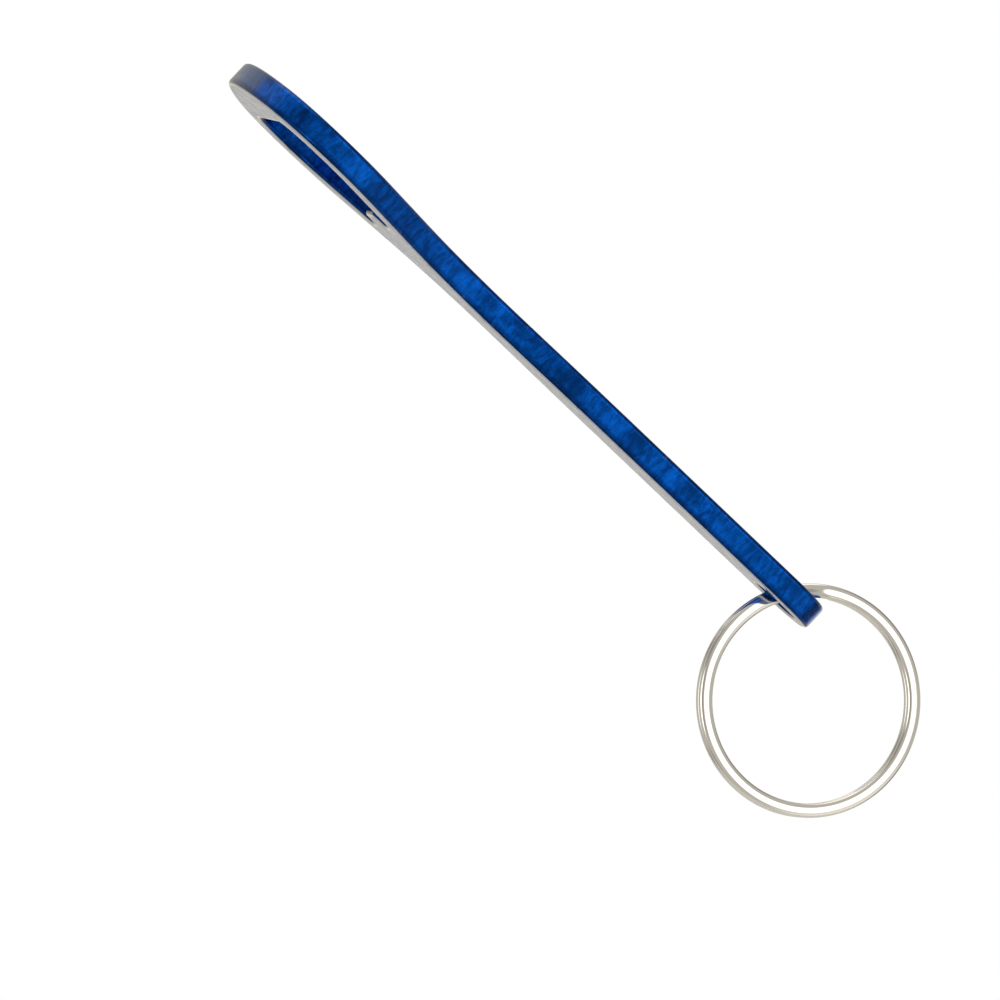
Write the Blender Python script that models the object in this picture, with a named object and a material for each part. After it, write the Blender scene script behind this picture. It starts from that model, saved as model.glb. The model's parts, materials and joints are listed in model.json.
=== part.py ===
"""Keychain bottle opener: one flat aluminium plate and the split ring through its tail.

The plate is drawn in its own plane, with x along its length measured from the tip of the
head, y across and z through its thickness. It is then tilted as it hangs on a crown cap:
head up, handle down. The origin is the middle of the opening in the head.
"""
import math

import bmesh
import bpy
from mathutils import Matrix, Vector

MM = 0.001

# Driving dimensions, in millimetres and degrees.
LENGTH = 85.0             # overall length of the plate
THICKNESS = 3.0
EDGE_ROUND = 0.5          # radius worn on every edge of the plate
PLATE_TILT = 43.5         # how far the handle points below the horizontal

HEAD_WIDTH = 33.0
TIP_RADIUS = 25.0         # broad arc across the tip of the head
SHOULDER_RADIUS = 8.5     # from the tip arc round to the widest place
CHEEK_RADIUS = 13.0       # from the widest place down to the flank
NECK_RADIUS = 21.0        # hollow between the flank and the waist
WAIST_AT = 38.0
WAIST_WIDTH = 8.5
HANDLE_AT = 51.0          # the handle has its full width from here on
HANDLE_WIDTH = 10.1
TAIL_RADIUS = 5.0

OPENING_FRONT = 6.0       # tip-side edge, which bears on top of the cap
OPENING_FRONT_WIDTH = 23.6
OPENING_FRONT_RADIUS = 4.2
OPENING_SIDE_AT = 12.6    # the sides are furthest apart here
OPENING_SIDE_WIDTH = 26.0
OPENING_SIDE_RADIUS = 7.0
OPENING_BACK = 22.0       # handle-side edge
OPENING_BACK_WIDTH = 13.8
OPENING_BACK_RADIUS = 1.8
TOOTH_REACH = 1.8         # how far the lifting tooth stands into the opening
TOOTH_WIDTH = 7.0
TOOTH_TIP_WIDTH = 5.4
TOOTH_TIP_RADIUS = 0.7
TOOTH_FOOT_RADIUS = 0.6

RING_HOLE_AT = 80.6
RING_HOLE_RADIUS = 2.65

RING_RADIUS = 12.5        # outside of the split ring
WIRE_WIDTH = 1.52         # flattened wire, measured along the ring's radius
WIRE_THICKNESS = 0.78     # the same wire, measured along the ring's axis
WIRE_SQUARENESS = 2.5     # 2 is an oval section, and more is squarer
COIL_GAP = 0.05           # between the two turns
JOG_SPAN = 26.0           # arc over which the wire steps from one turn to the other
JOG_AT = 78.0             # where the step sits round the ring
RING_DROP = 12.01         # from the ring hole's centre to the ring's centre
RING_SWING = 11.7         # the ring's centre hangs this far from straight down
RING_LEAN = 4.3
RING_YAW = 9.2

# Facets: degrees per step on the arcs, and steps on the shapes with a fixed count.
ARC_STEP = 9.0
EDGE_STEPS = 2
FLARE_STEPS = 6
HOLE_STEPS = 28
TURN_STEPS = 60
WIRE_STEPS = 14
SHORTEST_STEP = 0.02      # outline points closer than this are one point
SHARP_ANGLE = 35.0        # edges sharper than this stay sharp in the shading

BODY_BLUE = (0.012, 0.085, 0.42, 1.0)
STEEL_GREY = (0.62, 0.61, 0.59, 1.0)

ORIGIN_AT = (OPENING_FRONT + OPENING_BACK) / 2


def clear_scene():
    """Start empty, so that only the part's own objects are in the file."""
    for obj in list(bpy.data.objects):
        bpy.data.objects.remove(obj, do_unlink=True)


def metal(name, colour, roughness):
    """A bare metal surface in one colour."""
    material = bpy.data.materials.new(name)
    material.use_nodes = True
    shader = material.node_tree.nodes["Principled BSDF"]
    shader.inputs["Base Color"].default_value = colour
    shader.inputs["Roughness"].default_value = roughness
    shader.inputs["Metallic"].default_value = 1.0
    return material


# ---- outlines -----------------------------------------------------------------------------

def arc(centre, radius, start, end):
    """Points along an arc, from start to end in radians, both ends included."""
    steps = max(2, math.ceil(abs(end - start) / math.radians(ARC_STEP)))
    turns = [start + (end - start) * i / steps for i in range(steps + 1)]
    return [(centre[0] + radius * math.cos(t), centre[1] + radius * math.sin(t)) for t in turns]


def plate_half():
    """Half of the plate's outline (y >= 0), from the tip to the end of the tail."""
    half = HEAD_WIDTH / 2
    shoulder_y = half - SHOULDER_RADIUS
    reach = TIP_RADIUS - SHOULDER_RADIUS
    shoulder_x = TIP_RADIUS - math.sqrt(reach ** 2 - shoulder_y ** 2)
    join = math.atan2(shoulder_y, shoulder_x - TIP_RADIUS)
    points = arc((TIP_RADIUS, 0.0), TIP_RADIUS, math.pi, join)
    points += arc((shoulder_x, shoulder_y), SHOULDER_RADIUS, join, math.pi / 2)[1:]

    cheek = Vector((shoulder_x, half - CHEEK_RADIUS))
    neck = Vector((WAIST_AT, WAIST_WIDTH / 2 + NECK_RADIUS))
    across = neck - cheek
    flank = math.atan2(across.y, across.x)
    flank += math.acos((CHEEK_RADIUS + NECK_RADIUS) / across.length)
    points += arc(cheek, CHEEK_RADIUS, math.pi / 2, flank)[1:]
    points += arc(neck, NECK_RADIUS, flank - math.pi, -math.pi / 2)

    rise = (HANDLE_WIDTH - WAIST_WIDTH) / 2
    for i in range(1, FLARE_STEPS + 1):
        t = i / FLARE_STEPS
        x = WAIST_AT + (HANDLE_AT - WAIST_AT) * t
        points.append((x, WAIST_WIDTH / 2 + rise * t * t * (3 - 2 * t)))
    tail_y = HANDLE_WIDTH / 2 - TAIL_RADIUS
    points += arc((LENGTH - TAIL_RADIUS, tail_y), TAIL_RADIUS, math.pi / 2, 0.0)
    return points


def rounded(corners):
    """A closed polygon of (x, y, radius) corners with each corner turned into an arc."""
    points = []
    for i, (x, y, radius) in enumerate(corners):
        here = Vector((x, y))
        before = (Vector(corners[i - 1][:2]) - here).normalized()
        after = (Vector(corners[(i + 1) % len(corners)][:2]) - here).normalized()
        half_angle = before.angle(after) / 2
        centre = here + (before + after).normalized() * radius / math.sin(half_angle)
        start = here + before * radius / math.tan(half_angle) - centre
        sweep = -start.angle_signed(here + after * radius / math.tan(half_angle) - centre)
        first = math.atan2(start.y, start.x)
        points += arc(centre, radius, first, first + sweep)
    return points


def opening_outline():
    """The opening in the head, anticlockwise, with its lifting tooth on the handle's side."""
    half = [
        (OPENING_BACK - TOOTH_REACH, TOOTH_TIP_WIDTH / 2, TOOTH_TIP_RADIUS),
        (OPENING_BACK, TOOTH_WIDTH / 2, TOOTH_FOOT_RADIUS),
        (OPENING_BACK, OPENING_BACK_WIDTH / 2, OPENING_BACK_RADIUS),
        (OPENING_SIDE_AT, OPENING_SIDE_WIDTH / 2, OPENING_SIDE_RADIUS),
        (OPENING_FRONT, OPENING_FRONT_WIDTH / 2, OPENING_FRONT_RADIUS),
    ]
    return rounded(half + [(x, -y, r) for x, y, r in reversed(half)])


def circle(centre_x, radius, steps):
    """A full circle about a point on the plate's centre line."""
    turns = [2 * math.pi * i / steps for i in range(steps)]
    return [(centre_x + radius * math.cos(t), radius * math.sin(t)) for t in turns]


def offset(loop, distance):
    """Move an anticlockwise loop outwards by distance, each point along its own normal."""
    moved = []
    for i, point in enumerate(loop):
        here = Vector(point)
        along = (here - Vector(loop[i - 1])).normalized()
        along += (Vector(loop[(i + 1) % len(loop)]) - here).normalized()
        along.normalize()
        moved.append((here.x + along.y * distance, here.y - along.x * distance))
    return moved


def without_repeats(points):
    """The same closed loop with each run of coinciding points reduced to one."""
    kept = []
    for point in points:
        if not kept or math.dist(point, kept[-1]) > SHORTEST_STEP:
            kept.append(point)
    if math.dist(kept[0], kept[-1]) < SHORTEST_STEP:
        kept.pop()
    return kept


# ---- the plate ----------------------------------------------------------------------------

def build_plate():
    """The whole opener body: outline, opening and ring hole, with every edge rounded."""
    half = plate_half()
    outer = half[::-1] + [(x, -y) for x, y in half[1:-1]]
    outer = without_repeats(outer)
    opening = without_repeats(opening_outline())
    hole = circle(RING_HOLE_AT, RING_HOLE_RADIUS, HOLE_STEPS)

    # Levels through the thickness: each has a height and how far the edges are drawn in.
    levels = []
    for i in range(EDGE_STEPS + 1):
        turn = math.pi / 2 * i / EDGE_STEPS
        height = THICKNESS / 2 - EDGE_ROUND * (1 - math.sin(turn))
        levels.append((height, EDGE_ROUND * (1 - math.cos(turn))))
    levels = [(-height, inset) for height, inset in reversed(levels)] + levels

    bm = bmesh.new()
    for loop, outwards in ((outer, -1.0), (opening, 1.0), (hole, 1.0)):
        rings = []
        for height, inset in levels:
            flat = offset(loop, outwards * inset)
            rings.append([bm.verts.new((x - ORIGIN_AT, y, height)) for x, y in flat])
        for low, high in zip(rings, rings[1:]):
            for i in range(len(low)):
                j = (i + 1) % len(low)
                bm.faces.new((low[i], low[j], high[j], high[i]))
    for sign in (-1.0, 1.0):
        rim = [e for e in bm.edges
               if e.is_boundary and all(v.co.z * sign > 0 for v in e.verts)]
        bmesh.ops.triangle_fill(bm, edges=rim, use_beauty=True, normal=(0.0, 0.0, sign))
    bmesh.ops.recalc_face_normals(bm, faces=bm.faces)
    bm.transform(Matrix.Scale(MM, 4))

    plate = finish_object("opener_body", bm, metal("anodised_aluminium", BODY_BLUE, 0.35))
    plate.rotation_euler = (0.0, math.radians(PLATE_TILT), 0.0)
    return plate


# ---- the split ring -----------------------------------------------------------------------

def wire_section():
    """Flattened wire with rounded sides, as (radial, axial) offsets from its centre."""
    section = []
    for i in range(WIRE_STEPS):
        turn = 2 * math.pi * (i + 0.5) / WIRE_STEPS
        radial, axial = [math.copysign(abs(side) ** (2 / WIRE_SQUARENESS), side)
                         for side in (math.cos(turn), math.sin(turn))]
        section.append((WIRE_WIDTH / 2 * radial, WIRE_THICKNESS / 2 * axial))
    return section


def step_across(degrees):
    """Axial place of the wire's centre: one turn, a smooth step, then the other turn."""
    shift = (WIRE_THICKNESS + COIL_GAP) / 2
    t = (degrees - (360.0 - JOG_SPAN)) / JOG_SPAN
    t = min(1.0, max(0.0, t))
    return shift * (2 * t * t * (3 - 2 * t) - 1)


def build_ring(parent):
    """The split ring: flattened wire wound nearly twice round, one turn beside the other."""
    middle = RING_RADIUS - WIRE_WIDTH / 2
    section = wire_section()
    sweep = 720.0 - JOG_SPAN
    steps = round(TURN_STEPS * sweep / 360.0)
    bm = bmesh.new()
    rings = []
    for i in range(steps + 1):
        degrees = sweep * i / steps
        turn = math.radians(JOG_AT + JOG_SPAN / 2 + degrees)
        across = step_across(degrees)
        ring = []
        for radial, axial in section:
            r = (middle + radial) * MM
            ring.append(bm.verts.new((r * math.cos(turn), (axial + across) * MM,
                                      r * math.sin(turn))))
        rings.append(ring)
    for low, high in zip(rings, rings[1:]):
        for i in range(len(section)):
            j = (i + 1) % len(section)
            bm.faces.new((low[i], low[j], high[j], high[i]))
    bm.faces.new(rings[0])
    bm.faces.new(reversed(rings[-1]))
    bmesh.ops.recalc_face_normals(bm, faces=bm.faces)

    ring = finish_object("split_ring", bm, metal("plated_steel", STEEL_GREY, 0.18))
    ring.parent = parent
    ring.location = (0.0, 0.0, -RING_DROP * MM)
    return ring


def ring_pivot():
    """Empty on the ring's swing axis, in the middle of the hole in the handle."""
    pivot = bpy.data.objects.new("ring_pivot", None)
    bpy.context.collection.objects.link(pivot)
    reach = (RING_HOLE_AT - ORIGIN_AT) * MM
    tilt = math.radians(PLATE_TILT)
    pivot.location = (reach * math.cos(tilt), 0.0, -reach * math.sin(tilt))
    pivot.rotation_mode = "YXZ"
    pivot.rotation_euler = (math.radians(-RING_LEAN), math.radians(-RING_SWING),
                            math.radians(RING_YAW))
    return pivot


def finish_object(name, bm, material):
    """Turn the finished mesh into a named object in the scene."""
    mesh = bpy.data.meshes.new(name)
    bm.to_mesh(mesh)
    bm.free()
    mesh.materials.append(material)
    mesh.shade_smooth()
    mesh.set_sharp_from_angle(angle=math.radians(SHARP_ANGLE))
    obj = bpy.data.objects.new(name, mesh)
    bpy.context.collection.objects.link(obj)
    return obj


clear_scene()
build_plate()
build_ring(ring_pivot())
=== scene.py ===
"""Looks of the keychain bottle opener: fine meshes and finishes for the plate and its split ring.

Lengths are in millimetres until a mesh is finished, as in the part's source. The plate is drawn
in its own plane, x along its length from the tip of the head, y across, z through it.
"""
import json
import math

import bmesh
import bpy
from mathutils import Euler, Matrix, Vector


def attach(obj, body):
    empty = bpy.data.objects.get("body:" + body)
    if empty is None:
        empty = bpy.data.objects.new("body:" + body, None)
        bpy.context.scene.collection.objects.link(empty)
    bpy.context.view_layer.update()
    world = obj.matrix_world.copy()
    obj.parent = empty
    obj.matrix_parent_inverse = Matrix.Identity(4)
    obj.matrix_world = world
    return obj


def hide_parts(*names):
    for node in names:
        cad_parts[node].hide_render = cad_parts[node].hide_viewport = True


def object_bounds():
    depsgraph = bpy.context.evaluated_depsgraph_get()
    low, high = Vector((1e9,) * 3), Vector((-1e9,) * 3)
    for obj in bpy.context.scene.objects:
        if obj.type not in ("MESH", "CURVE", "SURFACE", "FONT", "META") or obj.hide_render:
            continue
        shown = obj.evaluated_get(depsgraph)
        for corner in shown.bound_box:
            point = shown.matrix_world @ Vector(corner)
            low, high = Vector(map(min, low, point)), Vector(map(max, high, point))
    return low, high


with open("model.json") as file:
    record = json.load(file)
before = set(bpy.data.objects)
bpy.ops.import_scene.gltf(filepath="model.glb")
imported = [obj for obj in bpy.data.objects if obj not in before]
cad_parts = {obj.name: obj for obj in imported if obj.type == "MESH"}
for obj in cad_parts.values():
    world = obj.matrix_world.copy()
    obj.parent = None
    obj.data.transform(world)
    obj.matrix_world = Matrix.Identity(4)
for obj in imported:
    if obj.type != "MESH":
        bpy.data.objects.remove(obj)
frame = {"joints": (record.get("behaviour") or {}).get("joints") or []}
cad_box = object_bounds()

MM = 0.001

# The plate, as in the part's source.
LENGTH = 85.0
THICKNESS = 3.0
EDGE_ROUND = 0.5
PLATE_TILT = 43.5
HEAD_WIDTH = 33.0
TIP_RADIUS = 25.0
SHOULDER_RADIUS = 8.5
CHEEK_RADIUS = 13.0
NECK_RADIUS = 21.0
WAIST_AT = 38.0
WAIST_WIDTH = 8.5
HANDLE_AT = 51.0
HANDLE_WIDTH = 10.1
TAIL_RADIUS = 5.0
OPENING_FRONT = 6.0
OPENING_FRONT_WIDTH = 23.6
OPENING_FRONT_RADIUS = 4.2
OPENING_SIDE_AT = 12.6
OPENING_SIDE_WIDTH = 26.0
OPENING_SIDE_RADIUS = 7.0
OPENING_BACK = 22.0
OPENING_BACK_WIDTH = 13.8
OPENING_BACK_RADIUS = 1.8
TOOTH_REACH = 1.8
TOOTH_WIDTH = 7.0
TOOTH_TIP_WIDTH = 5.4
TOOTH_TIP_RADIUS = 0.7
TOOTH_FOOT_RADIUS = 0.6
RING_HOLE_AT = 80.6
RING_HOLE_RADIUS = 2.65
ORIGIN_AT = (OPENING_FRONT + OPENING_BACK) / 2

# The split ring, as in the part's source.
RING_RADIUS = 12.5
WIRE_WIDTH = 1.52
WIRE_THICKNESS = 0.78
WIRE_SQUARENESS = 2.5
COIL_GAP = 0.05
JOG_SPAN = 26.0
JOG_AT = 78.0
RING_DROP = 12.01
RING_SWING = 11.7
RING_LEAN = 4.3
RING_YAW = 9.2

WIRE_MIDDLE = RING_RADIUS - WIRE_WIDTH / 2

# How finely the curved shapes are drawn.
ARC_STEP = 2.0            # degrees
EDGE_STEPS = 6
FLARE_STEPS = 24
HOLE_STEPS = 96
TURN_STEPS = 360
WIRE_STEPS = 40
END_STEPS = 4             # loops over which a cut end of the wire is rounded off
END_ROUND = 0.16
SHORTEST_STEP = 0.02

# The camera, looking slightly down and nearly edge-on to the plate.
CAMERA_DISTANCE = 1150.0
CAMERA_YAW = 8.45         # degrees, from straight across the plate
CAMERA_DOWN = 3.7         # degrees
CAMERA_LENS = 390.0
CAMERA_SENSOR = 36.0
CAMERA_AIM = (17.73, 0.44, -35.88)
CAMERA_CLIP = (0.05, 100.0)

FLOOR_DROP = 155.0        # from the ring's lowest point down to where a bottle would stand
FLOOR_PLAIN_RADIUS = 110.0
FLOOR_RADIUS = 280.0      # the floor fades out between these two
FLOOR_STEPS = 96
FLOOR_NOISE = 3.0
FLOOR_PALE = (0.90, 0.90, 0.895, 1.0)
FLOOR_PALER = (0.92, 0.92, 0.915, 1.0)


# ---- shader graph helpers -----------------------------------------------------------------

def add(tree, kind, inputs=None, **settings):
    """Add a node; an input is either a value or the socket to link from."""
    node = tree.nodes.new("ShaderNode" + kind)
    for name, value in settings.items():
        setattr(node, name, value)
    for name, value in (inputs or {}).items():
        if isinstance(value, bpy.types.NodeSocket):
            tree.links.new(value, node.inputs[name])
        else:
            node.inputs[name].default_value = value
    return node


def maths(tree, operation, first, second=0.0):
    return add(tree, "Math", {0: first, 1: second}, operation=operation).outputs[0]


def total(tree, first, *others):
    """The sum of two or more values or sockets."""
    for other in others:
        first = maths(tree, "ADD", first, other)
    return first


def product(tree, first, *others):
    """The product of two or more values or sockets."""
    for other in others:
        first = maths(tree, "MULTIPLY", first, other)
    return first


def stretch(tree, source, scale):
    """Coordinates scaled by three factors."""
    return add(tree, "Mapping", {"Vector": source, "Scale": scale}).outputs[0]


def noise(tree, place, scale, detail=2.0, roughness=0.5, distortion=0.0):
    inputs = {"Vector": place, "Scale": scale, "Detail": detail, "Roughness": roughness,
              "Distortion": distortion}
    return add(tree, "TexNoise", inputs).outputs[0]


def remap(tree, value, low, high, to_low=0.0, to_high=1.0):
    """Clamped, smooth change of range."""
    inputs = {"Value": value, "From Min": low, "From Max": high,
              "To Min": to_low, "To Max": to_high}
    return add(tree, "MapRange", inputs, interpolation_type="SMOOTHSTEP").outputs[0]


def blend_colours(tree, share, first, second):
    """From the first colour, at a share of 0, to the second."""
    return add(tree, "Mix", {0: share, 6: first, 7: second}, data_type="RGBA").outputs[2]


def bump(tree, height, depth, under=None):
    """Raise the surface by up to depth millimetres where height is 1."""
    inputs = {"Height": height, "Distance": depth * MM, "Strength": 1.0}
    if under is not None:
        inputs["Normal"] = under
    return add(tree, "Bump", inputs).outputs[0]


def set_inputs(shader, values):
    """Set uniform values directly on a shader's sockets."""
    for name, value in values.items():
        shader.inputs[name].default_value = value


def new_material(name):
    material = bpy.data.materials.new(name)
    material.use_nodes = True
    return material, material.node_tree, material.node_tree.nodes["Principled BSDF"]


# ---- finishes -----------------------------------------------------------------------------

BLUE_DEEP = (0.0007, 0.049, 0.255, 1.0)
BLUE_LIGHT = (0.0016, 0.142, 0.76, 1.0)
# painted shade: dark blue laid where the edges round over and along the bottom of the side wall
SHADED_EDGE_BLUE = (0.0008, 0.020, 0.10, 1.0)
# painted reflection: paler, greyer blue on the tip's rim, where it is seen at a grazing angle
TIP_SHEEN_BLUE = (0.10, 0.17, 0.33, 1.0)
WORN_ALUMINIUM = (0.42, 0.50, 0.62, 1.0)
# painted highlight: light grey for the line round the underside's rounded edge
BOTTOM_HIGHLIGHT_GREY = (0.62, 0.63, 0.64, 1.0)
EDGE_TINT = (1.0, 0.98, 0.92, 1.0)       # of what the surface mirrors at a grazing angle

# Noise in the anodising: scale per millimetre, detail, roughness and distortion.
PATCH = (0.22, 1.0)
CLOUD = (0.75, 4.0, 0.62, 0.8)
STREAK = (1.9, 3.0, 0.65, 0.5)
GRAIN = (6.0, 2.0, 0.6)
SPOT = (1.1, 4.0, 0.65)
CLOUD_STRETCH = (1.0, 1.0, 0.7)
STREAK_STRETCH = (1.0, 1.0, 0.38)
STREAK_SLANT = 16.0       # degrees from straight through the plate

PATCH_SHARE = 0.28        # of each noise in the blue's tone
CLOUD_SHARE = 0.30
STREAK_SHARE = 0.42
DEEPEST_TONE = 0.40
LIGHTEST_TONE = 0.66
FACE_TONE = 0.42          # between the two blues, on the broad faces
FACE_CLOUDS = 0.35        # how cloudy the broad faces are, against the punched edges

RIM_FROM = 0.01           # depth below a broad face at which the punched edge starts
RIM_FULL = 0.08
TIP_SHEEN_LENGTH = 2.0     # length of the tip's rim, from its end, with a paler painted grazing reflection
TIP_SHEEN_FADE = (0.6, -0.3)
TIP_SHEEN_RAGGED = 1.2       # how far clouds shift the end of the painted reflection
TIP_SHEEN_LEAST = 0.45
BOTTOM_SHADE_DEPTH = 0.55         # height of the painted shade along the underside's edge
BOTTOM_SHADE_FADE = 0.35
EDGE_SHADE_SHARE = 0.50           # share of the painted shade's dark blue there, and where the edges round over
WEAR = 0.35               # share of bare metal in the worn spots on the edges
BOTTOM_HIGHLIGHT_DEPTH = 0.13         # height of the painted highlight line round the underside
BOTTOM_HIGHLIGHT_FADE = (0.04, -0.03)
BOTTOM_HIGHLIGHT_FROM = (0.001, 0.006)
BOTTOM_HIGHLIGHT_LEAST = 0.6

# Relief of the anodising, in millimetres.
PATCH_RELIEF = 0.08
CLOUD_RELIEF = 0.024
STREAK_RELIEF = 0.004
GRAIN_RELIEF = 0.0015

COAT_WEIGHT = 0.22        # the clear oxide over the dye
COAT_ROUGHNESS = 0.10
COAT_IOR = 1.2


def anodising_noise(tree, place):
    """Patches, clouds, streaks slanted through the plate, and fine grain."""
    cloudy_place = stretch(tree, place, CLOUD_STRETCH)
    slant = (0.0, math.radians(STREAK_SLANT), 0.0)
    slanted = add(tree, "Mapping", {"Vector": place, "Rotation": slant, "Scale": STREAK_STRETCH})
    return (noise(tree, place, *PATCH), noise(tree, cloudy_place, *CLOUD),
            noise(tree, slanted.outputs[0], *STREAK), noise(tree, place, *GRAIN))


def dyed_blue(tree, patch, cloud, streak, on_rim):
    """The dye's blue, cloudy on the punched edges and calmer on the broad faces."""
    tone = total(tree, product(tree, patch, PATCH_SHARE), product(tree, cloud, CLOUD_SHARE),
                 product(tree, streak, STREAK_SHARE))
    tone = maths(tree, "SUBTRACT", remap(tree, tone, DEEPEST_TONE, LIGHTEST_TONE), FACE_TONE)
    tone = product(tree, tone, remap(tree, on_rim, 0.0, 1.0, FACE_CLOUDS, 1.0))
    return blend_colours(tree, total(tree, tone, FACE_TONE), BLUE_DEEP, BLUE_LIGHT)


def painted_tip_sheen(tree, along, cloud, streak, on_rim):
    """Share of the painted grazing reflection, a paler blue, on the tip's rim."""
    from_tip = total(tree, total(tree, along, ORIGIN_AT), product(tree, cloud, TIP_SHEEN_RAGGED))
    near = remap(tree, from_tip, TIP_SHEEN_LENGTH + TIP_SHEEN_FADE[0],
                 TIP_SHEEN_LENGTH + TIP_SHEEN_FADE[1])
    return product(tree, near, on_rim, remap(tree, streak, 0.30, 0.62, TIP_SHEEN_LEAST, 1.0))


def painted_bottom_highlight(tree, height, cloud):
    """A painted highlight: a thin light line round the underside."""
    low = remap(tree, height, BOTTOM_HIGHLIGHT_DEPTH + BOTTOM_HIGHLIGHT_FADE[0], BOTTOM_HIGHLIGHT_DEPTH + BOTTOM_HIGHLIGHT_FADE[1])
    return product(tree, low, remap(tree, height, *BOTTOM_HIGHLIGHT_FROM),
                   remap(tree, cloud, 0.25, 0.50, BOTTOM_HIGHLIGHT_LEAST, 1.0))


def anodised_aluminium():
    """Blue dyed anodising: cloudy, with painted shade round its edges, a painted highlight line
    round the underside and a painted grazing reflection on the tip's rim.
    """
    material, tree, shader = new_material("blue_anodised")
    local = add(tree, "TexCoord").outputs["Object"]
    place = stretch(tree, local, (1 / MM, 1 / MM, 1 / MM))
    parts = add(tree, "SeparateXYZ", {0: place}).outputs
    edge = add(tree, "Attribute", attribute_name="edge").outputs["Fac"]
    patch, cloud, streak, grain = anodising_noise(tree, place)

    on_rim = remap(tree, maths(tree, "ABSOLUTE", parts["Z"]), THICKNESS / 2 - RIM_FROM,
                   THICKNESS / 2 - RIM_FULL)
    height = total(tree, parts["Z"], THICKNESS / 2)
    # painted shade: darker along the bottom of the side wall
    low = remap(tree, height, BOTTOM_SHADE_DEPTH + BOTTOM_SHADE_FADE, BOTTOM_SHADE_DEPTH)
    spots = remap(tree, noise(tree, place, *SPOT), 0.60, 0.74)
    colour = dyed_blue(tree, patch, cloud, streak, on_rim)
    layers = (
        # painted grazing reflection on the tip's rim
        (painted_tip_sheen(tree, parts["X"], cloud, streak, on_rim), TIP_SHEEN_BLUE),
        # painted shade where the edges round over, and along the bottom of the side wall
        (product(tree, edge, EDGE_SHADE_SHARE), SHADED_EDGE_BLUE),
        (product(tree, low, on_rim, EDGE_SHADE_SHARE), SHADED_EDGE_BLUE),
        (product(tree, edge, spots, WEAR), WORN_ALUMINIUM),
        # painted highlight line round the underside
        (painted_bottom_highlight(tree, height, cloud), BOTTOM_HIGHLIGHT_GREY),
    )
    for share, over in layers:
        colour = blend_colours(tree, share, colour, over)
    tree.links.new(colour, shader.inputs["Base Color"])

    rough = total(tree, remap(tree, cloud, 0.3, 0.7, 0.20, 0.30),
                  remap(tree, grain, 0.3, 0.8, -0.02, 0.05))
    tree.links.new(rough, shader.inputs["Roughness"])
    surface = bump(tree, patch, PATCH_RELIEF)
    surface = bump(tree, cloud, CLOUD_RELIEF, surface)
    surface = bump(tree, streak, STREAK_RELIEF, surface)
    surface = bump(tree, grain, GRAIN_RELIEF, surface)
    tree.links.new(surface, shader.inputs["Normal"])
    set_inputs(shader, {"Metallic": 1.0, "Specular Tint": EDGE_TINT, "Coat Weight": COAT_WEIGHT,
                        "Coat Roughness": COAT_ROUGHNESS, "Coat IOR": COAT_IOR})
    return material


STEEL_LIGHT = (0.87, 0.835, 0.765, 1.0)
STEEL_DARK = (0.74, 0.70, 0.625, 1.0)

# Noise on the wire: its scale per millimetre along the wire and round it.
DRAWN_LINES = (0.05, 9.0, 1.0)
FINE_LINES = (0.3, 30.0, 1.0)
DULL_SPOTS = (0.5, 0.9, 1.0)
DRAWN_RELIEF = 0.0016     # millimetres
FINE_RELIEF = 0.0004


def plated_steel():
    """Bright nickel plate on drawn wire: faint lines along the wire, a few duller spots."""
    material, tree, shader = new_material("nickel_plate")
    along = add(tree, "UVMap", uv_map="wire").outputs[0]
    drawn = noise(tree, stretch(tree, along, DRAWN_LINES), 1.0, 3.0, 0.6)
    fine = noise(tree, stretch(tree, along, FINE_LINES), 1.0, 2.0, 0.6)
    dull = noise(tree, stretch(tree, along, DULL_SPOTS), 1.0, 4.0, 0.6)

    colour = blend_colours(tree, remap(tree, drawn, 0.35, 0.75), STEEL_LIGHT, STEEL_DARK)
    tree.links.new(colour, shader.inputs["Base Color"])
    rough = total(tree, remap(tree, dull, 0.45, 0.75, 0.05, 0.13),
                  remap(tree, fine, 0.3, 0.8, 0.0, 0.03))
    tree.links.new(rough, shader.inputs["Roughness"])
    surface = bump(tree, drawn, DRAWN_RELIEF)
    surface = bump(tree, fine, FINE_RELIEF, surface)
    tree.links.new(surface, shader.inputs["Normal"])
    set_inputs(shader, {"Metallic": 1.0})
    return material


# ---- outlines, as in the part's source ----------------------------------------------------

def arc(centre, radius, start, end):
    """Points along an arc, from start to end in radians, both ends included."""
    steps = max(2, math.ceil(abs(end - start) / math.radians(ARC_STEP)))
    turns = [start + (end - start) * i / steps for i in range(steps + 1)]
    return [(centre[0] + radius * math.cos(t), centre[1] + radius * math.sin(t)) for t in turns]


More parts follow.
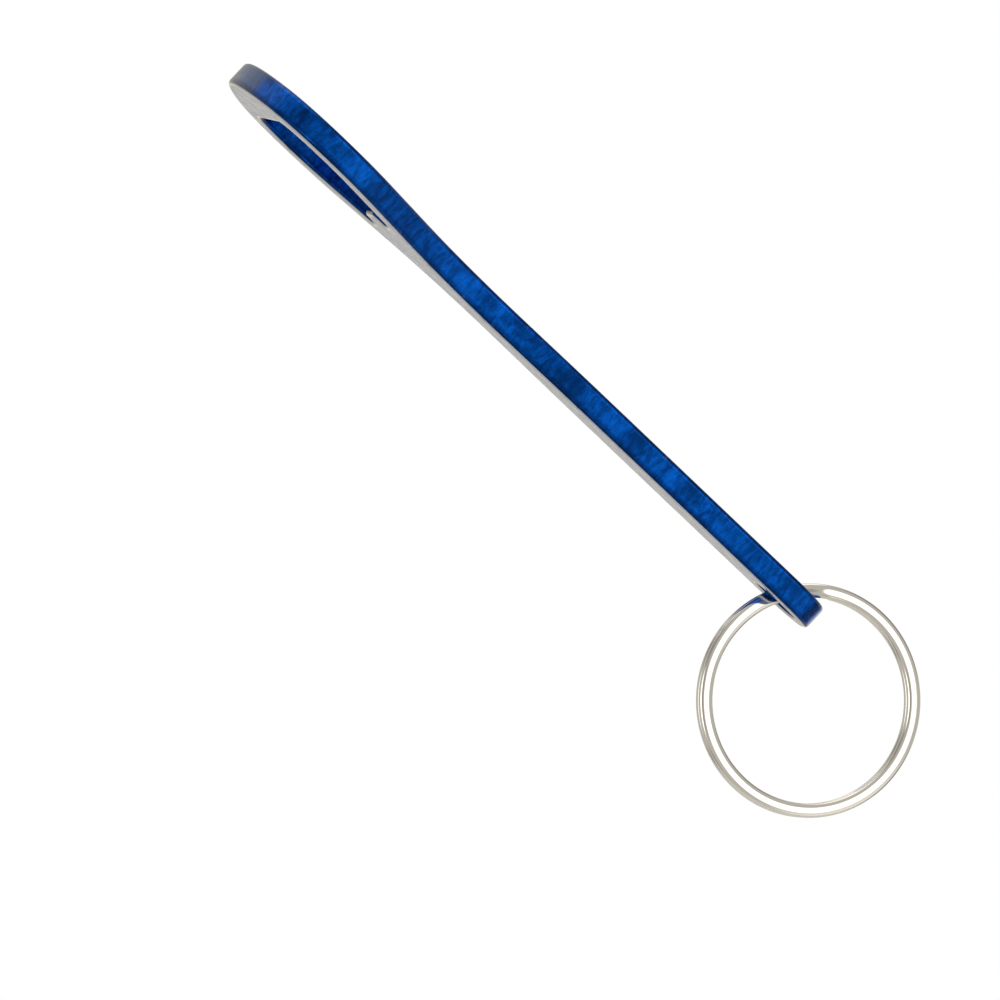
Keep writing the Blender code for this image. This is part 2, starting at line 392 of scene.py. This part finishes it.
def plate_half():
    """Half of the plate's outline (y >= 0), from the tip to the end of the tail."""
    half = HEAD_WIDTH / 2
    shoulder_y = half - SHOULDER_RADIUS
    reach = TIP_RADIUS - SHOULDER_RADIUS
    shoulder_x = TIP_RADIUS - math.sqrt(reach ** 2 - shoulder_y ** 2)
    join = math.atan2(shoulder_y, shoulder_x - TIP_RADIUS)
    points = arc((TIP_RADIUS, 0.0), TIP_RADIUS, math.pi, join)
    points += arc((shoulder_x, shoulder_y), SHOULDER_RADIUS, join, math.pi / 2)[1:]

    cheek = Vector((shoulder_x, half - CHEEK_RADIUS))
    neck = Vector((WAIST_AT, WAIST_WIDTH / 2 + NECK_RADIUS))
    across = neck - cheek
    flank = math.atan2(across.y, across.x)
    flank += math.acos((CHEEK_RADIUS + NECK_RADIUS) / across.length)
    points += arc(cheek, CHEEK_RADIUS, math.pi / 2, flank)[1:]
    points += arc(neck, NECK_RADIUS, flank - math.pi, -math.pi / 2)

    rise = (HANDLE_WIDTH - WAIST_WIDTH) / 2
    for i in range(1, FLARE_STEPS + 1):
        t = i / FLARE_STEPS
        x = WAIST_AT + (HANDLE_AT - WAIST_AT) * t
        points.append((x, WAIST_WIDTH / 2 + rise * t * t * (3 - 2 * t)))
    tail_y = HANDLE_WIDTH / 2 - TAIL_RADIUS
    points += arc((LENGTH - TAIL_RADIUS, tail_y), TAIL_RADIUS, math.pi / 2, 0.0)
    return points


def rounded(corners):
    """A closed polygon of (x, y, radius) corners with each corner turned into an arc."""
    points = []
    for i, (x, y, radius) in enumerate(corners):
        here = Vector((x, y))
        before = (Vector(corners[i - 1][:2]) - here).normalized()
        after = (Vector(corners[(i + 1) % len(corners)][:2]) - here).normalized()
        half_angle = before.angle(after) / 2
        centre = here + (before + after).normalized() * radius / math.sin(half_angle)
        start = here + before * radius / math.tan(half_angle) - centre
        sweep = -start.angle_signed(here + after * radius / math.tan(half_angle) - centre)
        first = math.atan2(start.y, start.x)
        points += arc(centre, radius, first, first + sweep)
    return points


def opening_outline():
    """The opening in the head, anticlockwise, with its lifting tooth on the handle's side."""
    half = [
        (OPENING_BACK - TOOTH_REACH, TOOTH_TIP_WIDTH / 2, TOOTH_TIP_RADIUS),
        (OPENING_BACK, TOOTH_WIDTH / 2, TOOTH_FOOT_RADIUS),
        (OPENING_BACK, OPENING_BACK_WIDTH / 2, OPENING_BACK_RADIUS),
        (OPENING_SIDE_AT, OPENING_SIDE_WIDTH / 2, OPENING_SIDE_RADIUS),
        (OPENING_FRONT, OPENING_FRONT_WIDTH / 2, OPENING_FRONT_RADIUS),
    ]
    return rounded(half + [(x, -y, r) for x, y, r in reversed(half)])


def circle(centre_x, radius, steps):
    turns = [2 * math.pi * i / steps for i in range(steps)]
    return [(centre_x + radius * math.cos(t), radius * math.sin(t)) for t in turns]


def outward_normals(loop):
    """Unit normals of an anticlockwise loop, pointing away from its inside."""
    normals = []
    for i, point in enumerate(loop):
        here = Vector(point)
        along = (here - Vector(loop[i - 1])).normalized()
        along += (Vector(loop[(i + 1) % len(loop)]) - here).normalized()
        along.normalize()
        normals.append(Vector((along.y, -along.x)))
    return normals


def without_repeats(points):
    kept = []
    for point in points:
        if not kept or math.dist(point, kept[-1]) > SHORTEST_STEP:
            kept.append(point)
    if math.dist(kept[0], kept[-1]) < SHORTEST_STEP:
        kept.pop()
    return kept


# ---- the plate ----------------------------------------------------------------------------

def edge_levels():
    """Heights through the plate, each with its inset, its normal's lift and its edge share."""
    levels = []
    for i in range(EDGE_STEPS + 1):
        turn = math.pi / 2 * i / EDGE_STEPS
        height = THICKNESS / 2 - EDGE_ROUND * (1 - math.sin(turn))
        levels.append((height, EDGE_ROUND * (1 - math.cos(turn)), turn, math.sin(2 * turn)))
    return [(-h, inset, -turn, share) for h, inset, turn, share in reversed(levels)] + levels


def build_plate():
    """The whole opener body, with smooth edges and an `edge` value where they round over."""
    half = plate_half()
    outer = without_repeats(half[::-1] + [(x, -y) for x, y in half[1:-1]])
    opening = without_repeats(opening_outline())
    hole = circle(RING_HOLE_AT, RING_HOLE_RADIUS, HOLE_STEPS)

    bm = bmesh.new()
    edge = bm.verts.layers.float.new("edge")
    normals = []
    for loop, side in ((outer, 1.0), (opening, -1.0), (hole, -1.0)):
        away = outward_normals(loop)
        rings = []
        for height, inset, turn, share in edge_levels():
            ring = []
            for (x, y), n in zip(loop, away):
                spot = Vector((x, y)) - n * inset * side
                vert = bm.verts.new((spot.x - ORIGIN_AT, spot.y, height))
                vert[edge] = share
                flat = n * side * math.cos(turn)
                normals.append((flat.x, flat.y, math.sin(turn)))
                ring.append(vert)
            rings.append(ring)
        for low, high in zip(rings, rings[1:]):
            for i in range(len(low)):
                j = (i + 1) % len(low)
                bm.faces.new((low[i], low[j], high[j], high[i]))
    for sign in (-1.0, 1.0):
        rim = [e for e in bm.edges
               if e.is_boundary and all(v.co.z * sign > 0 for v in e.verts)]
        bmesh.ops.triangle_fill(bm, edges=rim, use_beauty=True, normal=(0.0, 0.0, sign))
    bmesh.ops.recalc_face_normals(bm, faces=bm.faces)
    bm.transform(Matrix.Scale(MM, 4))

    plate = finish_object("opener_plate", bm, anodised_aluminium())
    plate.data.normals_split_custom_set_from_vertices(normals)
    plate.rotation_euler = (0.0, math.radians(PLATE_TILT), 0.0)
    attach(plate, "opener")
    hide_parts("opener_body")


# ---- the split ring -----------------------------------------------------------------------

def wire_section():
    """Flattened wire with rounded sides, as (radial, axial) offsets from its centre."""
    section = []
    for i in range(WIRE_STEPS):
        turn = 2 * math.pi * (i + 0.5) / WIRE_STEPS
        radial, axial = [math.copysign(abs(side) ** (2 / WIRE_SQUARENESS), side)
                         for side in (math.cos(turn), math.sin(turn))]
        section.append((WIRE_WIDTH / 2 * radial, WIRE_THICKNESS / 2 * axial))
    return section


def step_across(degrees):
    """Axial place of the wire's centre: one turn, a smooth step, then the other turn."""
    shift = (WIRE_THICKNESS + COIL_GAP) / 2
    t = (degrees - (360.0 - JOG_SPAN)) / JOG_SPAN
    t = min(1.0, max(0.0, t))
    return shift * (2 * t * t * (3 - 2 * t) - 1)


def wire_stations():
    """(degrees along the wire, inset of its section) from one cut end to the other."""
    sweep = 720.0 - JOG_SPAN
    end_span = math.degrees(END_ROUND / WIRE_MIDDLE)
    ends = []
    for i in range(END_STEPS):
        turn = math.pi / 2 * i / END_STEPS
        ends.append((end_span * (1 - math.cos(turn)), END_ROUND * (1 - math.sin(turn))))
    steps = round(TURN_STEPS * sweep / 360.0)
    body = [(end_span + (sweep - 2 * end_span) * i / steps, 0.0) for i in range(steps + 1)]
    return ends + body + [(sweep - degrees, inset) for degrees, inset in reversed(ends)]


def build_ring():
    """The split ring, wound nearly twice round, with rounded cut ends."""
    section = wire_section()
    girth = WIRE_WIDTH * 2 + WIRE_THICKNESS * 2
    bm = bmesh.new()
    uv = bm.loops.layers.uv.new("wire")
    rings = []
    for degrees, inset in wire_stations():
        turn = math.radians(JOG_AT + JOG_SPAN / 2 + degrees)
        across = step_across(degrees)
        ring = []
        for radial, axial in section:
            r = WIRE_MIDDLE + radial * (1 - inset / (WIRE_WIDTH / 2))
            y = across + axial * (1 - inset / (WIRE_THICKNESS / 2))
            ring.append(bm.verts.new((r * math.cos(turn) * MM, y * MM, r * math.sin(turn) * MM)))
        rings.append((math.radians(degrees) * WIRE_MIDDLE, ring))
    for (near, low), (far, high) in zip(rings, rings[1:]):
        for i in range(WIRE_STEPS):
            j = (i + 1) % WIRE_STEPS
            face = bm.faces.new((low[i], low[j], high[j], high[i]))
            corners = ((near, i), (near, i + 1), (far, i + 1), (far, i))
            for loop, (along, k) in zip(face.loops, corners):
                loop[uv].uv = (along, girth * k / WIRE_STEPS)
    bm.faces.new(rings[0][1])
    bm.faces.new(reversed(rings[-1][1]))
    bmesh.ops.recalc_face_normals(bm, faces=bm.faces)

    pivot = Matrix.Translation(frame["joints"][0]["pos_m"])
    hang = Euler((math.radians(-RING_LEAN), math.radians(-RING_SWING), math.radians(RING_YAW)),
                 "YXZ").to_matrix().to_4x4()
    bm.transform(pivot @ hang @ Matrix.Translation((0.0, 0.0, -RING_DROP * MM)))
    ring = finish_object("split_ring_wire", bm, plated_steel())
    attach(ring, "ring")
    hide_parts("split_ring")


def finish_object(name, bm, material):
    mesh = bpy.data.meshes.new(name)
    bm.to_mesh(mesh)
    bm.free()
    mesh.materials.append(material)
    mesh.shade_smooth()
    obj = bpy.data.objects.new(name, mesh)
    bpy.context.scene.collection.objects.link(obj)
    return obj


# ---- studio -------------------------------------------------------------------------------

# Light round the object, over an even base: direction, inner and outer half angle, strength.
STUDIO_BASE = 0.55
STUDIO_COLOUR = (1.0, 0.98, 0.94, 1.0)
BACKDROP_COLOUR = (1.0, 0.94, 0.74, 1.0)
STUDIO_LEAST = 0.04
BACKDROP = (0.14, 0.97, -0.17)                      # low behind the object
BACKDROP_WARM = (14.0, 26.0)                        # half angles of its warmer white
STUDIO_PANELS = (
    ((0.45, -0.889, 0.078), 9.0, 17.0, 1.18),       # key, in front on the right
    ((0.58, -0.66, -0.47), 10.0, 26.0, 0.38),       # fill, low on the right
    ((-0.55, -0.83, 0.06), 11.0, 20.0, 1.20),       # fill, in front on the left
    ((-0.20, 0.05, 0.97), 22.0, 42.0, 0.80),        # overhead
    (BACKDROP, 10.0, 18.0, 0.42),
    ((0.47, 0.83, -0.30), 8.0, 14.0, 0.60),         # low behind on the right
    ((-0.09, -0.99, 0.08), 6.0, 13.0, -0.22),       # the rest are dark
    ((0.86, 0.12, 0.50), 16.0, 30.0, -0.30),
    ((0.74, 0.25, -0.62), 14.0, 24.0, -0.44),
    ((-0.45, -0.72, 0.52), 12.0, 24.0, -0.22),
    ((-0.68, -0.15, 0.72), 12.0, 26.0, -0.32),
    ((-0.50, -0.40, -0.77), 18.0, 28.0, -0.40),
)


def facing(tree, direction, along, inner, outer):
    """1 within inner degrees of a direction, falling to 0 at outer degrees."""
    axis = Vector(along).normalized()
    dot = add(tree, "VectorMath", {0: direction, 1: axis}, operation="DOT_PRODUCT")
    low = math.cos(math.radians(outer))
    high = math.cos(math.radians(inner))
    return remap(tree, dot.outputs["Value"], low, high)


def build_world():
    """Even studio light with soft lights and dark panels, plain white where the camera looks."""
    world = bpy.data.worlds.new("studio")
    bpy.context.scene.world = world
    world.use_nodes = True
    tree = world.node_tree
    tree.nodes.clear()
    direction = add(tree, "TexCoord").outputs["Generated"]
    level = STUDIO_BASE
    for along, inner, outer, strength in STUDIO_PANELS:
        share = facing(tree, direction, along, inner, outer)
        level = total(tree, product(tree, share, strength), level)
    level = maths(tree, "MAXIMUM", level, STUDIO_LEAST)
    warm = facing(tree, direction, BACKDROP, *BACKDROP_WARM)
    colour = blend_colours(tree, warm, STUDIO_COLOUR, BACKDROP_COLOUR)
    lit = add(tree, "Background", {"Color": colour, "Strength": level})
    plain = add(tree, "Background", {"Color": (1.0, 1.0, 1.0, 1.0), "Strength": 1.0})
    seen = add(tree, "LightPath").outputs["Is Camera Ray"]
    mix = add(tree, "MixShader", {0: seen, 1: lit.outputs[0], 2: plain.outputs[0]})
    out = tree.nodes.new("ShaderNodeOutputWorld")
    tree.links.new(mix.outputs[0], out.inputs["Surface"])


def build_floor():
    """Plain pale floor, as far down as a bottle's foot would stand, fading out at its edge."""
    low, high = cad_box
    bm = bmesh.new()
    bmesh.ops.create_circle(bm, cap_ends=True, segments=FLOOR_STEPS, radius=FLOOR_RADIUS * MM)
    material, tree, shader = new_material("pale_floor")
    place = add(tree, "TexCoord").outputs["Object"]
    tint = blend_colours(tree, noise(tree, place, FLOOR_NOISE), FLOOR_PALE, FLOOR_PALER)
    tree.links.new(tint, shader.inputs["Base Color"])
    out = add(tree, "VectorMath", {0: place}, operation="LENGTH").outputs["Value"]
    tree.links.new(remap(tree, out, FLOOR_RADIUS * MM, FLOOR_PLAIN_RADIUS * MM),
                   shader.inputs["Alpha"])
    set_inputs(shader, {"Roughness": 0.9, "Specular IOR Level": 0.1})
    floor = finish_object("floor", bm, material)
    floor.location = ((low[0] + high[0]) / 2, 0.0, low[2] - FLOOR_DROP * MM)


def build_camera():
    yaw = math.radians(CAMERA_YAW)
    down = math.radians(CAMERA_DOWN)
    look = Vector((math.sin(yaw) * math.cos(down), math.cos(yaw) * math.cos(down),
                   -math.sin(down)))
    data = bpy.data.cameras.new("camera")
    data.sensor_width = CAMERA_SENSOR
    data.lens = CAMERA_LENS
    data.clip_start, data.clip_end = CAMERA_CLIP
    camera = bpy.data.objects.new("camera", data)
    bpy.context.scene.collection.objects.link(camera)
    camera.location = (Vector(CAMERA_AIM) - look * CAMERA_DISTANCE) * MM
    camera.rotation_euler = look.to_track_quat("-Z", "Y").to_euler()
    bpy.context.scene.camera = camera


build_plate()
build_ring()
build_world()
build_floor()
build_camera()
bpy.context.scene.view_settings.view_transform = "Standard"
